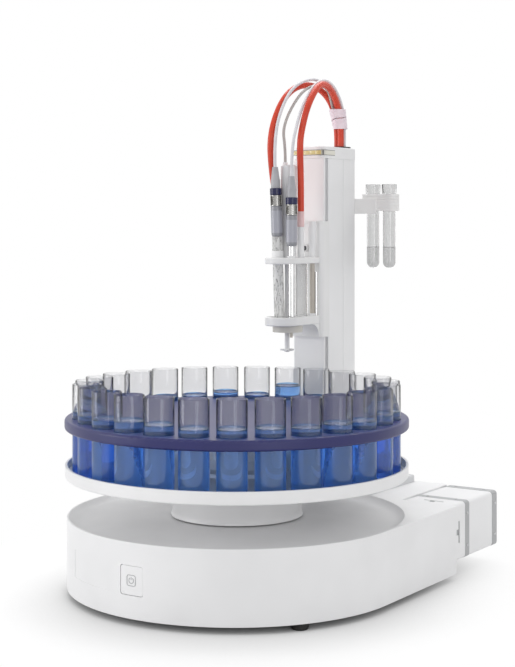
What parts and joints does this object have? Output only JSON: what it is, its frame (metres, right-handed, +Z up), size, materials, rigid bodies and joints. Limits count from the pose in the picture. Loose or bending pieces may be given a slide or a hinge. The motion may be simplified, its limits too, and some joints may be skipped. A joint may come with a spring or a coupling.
{
  "type": "laboratory autosampler",
  "caption": "Bench autosampler: a turntable rack of sample tubes on a rounded base, a tower whose lifting head carries sensors, stirrer and hoses, and a side pump",
  "frame": {"origin": "on the floor, under the middle of the object's outline", "axes": "+Z up, -Y is the rounded front with the power button, +X is the side of the pump"},
  "size_m": [0.3507, 0.4604, 0.542],
  "materials": {
    "housing_white": "satin white housing shell",
    "tower_white": "white powder coat",
    "plinth_grey": "satin grey",
    "steel_plate": "zinc plated sheet",
    "black_rubber": "matte black",
    "screw_steel": "bright steel",
    "black_plastic": "black",
    "board_green": "board with soldered parts",
    "button_grey": "glossy grey",
    "light_gold": "clear strip over gold reflectors",
    "rack_white": "satin pale grey",
    "rack_blue": "glossy blue violet",
    "tube_clear": "clear moulded plastic",
    "tube_glass": "clear glass",
    "belt_black": "toothed belt rubber",
    "pulley_alu": "turned",
    "nut_brass": "turned",
    "arm_white": "satin white",
    "cup_beige": "warm grey",
    "sensor_grey": "grey",
    "sensor_metal": "nickel plated knurl",
    "sensor_blue": "dark blue ring",
    "sensor_glass": "gel filled glass",
    "probe_steel": "polished steel",
    "fitting_white": "white",
    "connector_pink": "pale pink",
    "rod_brown": "brown grey",
    "knob_dark": "dark grey",
    "stirrer_white": "white",
    "hose_red": "red silicone hose",
    "cable_white": "white cable sheath",
    "cable_grey": "grey cable sheath",
    "wrap_pink": "pale pink wrap",
    "pump_white": "glossy white",
    "pump_grey": "grey",
    "roller_steel": "steel",
    "tube_silicone": "pale silicone",
    "holder_white": "off white"
  },
  "bodies": {
    "base": {"base_housing": "housing_white", "base_sheet": "steel_plate", "rubber_feet": "black_rubber", "case_screws": "screw_steel", "ball_bearings": "screw_steel", "drive_belt": "belt_black", "drive_motors": "black_plastic", "control_board": "board_green", "switch_and_sockets": "black_plastic", "tower_plinth": "plinth_grey", "tower_column": "tower_white", "tower_rear_cover": "tower_white", "tower_front_panel": "tower_white", "light_strip": "light_gold", "tower_cap": "tower_white", "entry_grommet": "black_rubber", "guide_rods": "probe_steel", "tube_holder": "holder_white", "pump_head": "pump_white", "pump_bands": "pump_grey", "pump_body": "pump_white", "pump_tube": "tube_silicone", "hose_left": "hose_red", "hose_right": "hose_red", "cable_left": "cable_white", "cable_right": "cable_white", "cable_stirrer": "cable_grey", "cable_wrap": "wrap_pink"},
    "button": {"power_button": "button_grey"},
    "rack": {"turntable_hub": "rack_white", "rack_tray": "rack_white", "rack_plate": "rack_blue", "rack_post": "rack_white", "sample_tubes": "tube_clear", "drive_pulley": "pulley_alu"},
    "loose_tube": {"sample_tube_loose": "tube_clear"},
    "drive_pinion": {"motor_pulley": "pulley_alu"},
    "screw": {"lift_screw": "screw_steel"},
    "head": {"slider_block": "black_plastic", "lift_nut": "nut_brass", "carriage": "arm_white", "upper_arm": "arm_white", "lower_arm": "arm_white", "tube_cup": "cup_beige", "sensor_bodies": "sensor_grey", "sensor_connectors": "sensor_metal", "sensor_rings": "sensor_blue", "sensor_boots": "sensor_grey", "sensor_glass": "sensor_glass", "sensor_steel": "probe_steel", "stirrer_motor": "stirrer_white", "arm_fittings": "fitting_white", "hose_connectors": "connector_pink", "dosing_sleeves": "fitting_white", "nozzle_rod": "rod_brown", "clamp_knob": "knob_dark"},
    "stirrer": {"stirrer": "stirrer_white"},
    "pump_rotor": {"pump_rotor": "roller_steel"},
    "test_tube_a": {"test_tube_left": "tube_glass"},
    "test_tube_b": {"test_tube_right": "tube_glass"}
  },
  "joints": [
    {"name": "rack_spin", "type": "hinge", "parent": "base", "child": "rack", "pos_m": [0, -0.05485, 0.1], "axis": [0, 0, 1], "range_deg": [-360, 360]},
    {"name": "pinion_spin", "type": "hinge", "parent": "base", "child": "drive_pinion", "pos_m": [0.07536, -0.00208, 0.05], "axis": [0, 0, 1], "range_deg": [-1360, 1360]},
    {"name": "head_lift", "type": "slide", "parent": "base", "child": "head", "axis": [0, 0, 1], "range_m": [-0.0455, 0.045], "deforming": ["hose_left", "hose_right", "cable_left", "cable_right", "cable_stirrer"]},
    {"name": "screw_spin", "type": "hinge", "parent": "base", "child": "screw", "pos_m": [-0.034, 0.16915, 0.2], "axis": [0, 0, 1], "range_deg": [-2100, 2100]},
    {"name": "stirrer_spin", "type": "hinge", "parent": "head", "child": "stirrer", "pos_m": [-0.0364, 0.09698, 0.26], "axis": [0, 0, 1], "continuous": true},
    {"name": "rotor_spin", "type": "hinge", "parent": "base", "child": "pump_rotor", "pos_m": [0.1375, 0.11515, 0.0472], "axis": [0, 1, 0], "continuous": true},
    {"name": "button_press", "type": "slide", "parent": "base", "child": "button", "axis": [0, 1, 0], "range_m": [0, 0.0012], "stiffness_N_per_m": 400, "springref_m": -0.001},
    {"name": "sample_tube_lift", "type": "slide", "parent": "rack", "child": "loose_tube", "axis": [0, 0, 1], "range_m": [0, 0.092]},
    {"name": "left_tube_lift", "type": "slide", "parent": "base", "child": "test_tube_a", "axis": [0, 0, 1], "range_m": [0, 0.09]},
    {"name": "right_tube_lift", "type": "slide", "parent": "base", "child": "test_tube_b", "axis": [0, 0, 1], "range_m": [0, 0.09]}
  ],
  "couplings": [
    {"joint": "pinion_spin", "follows": "rack_spin", "ratio": 3.75},
    {"joint": "screw_spin", "follows": "head_lift", "rad_per_m": -785.4}
  ]
}
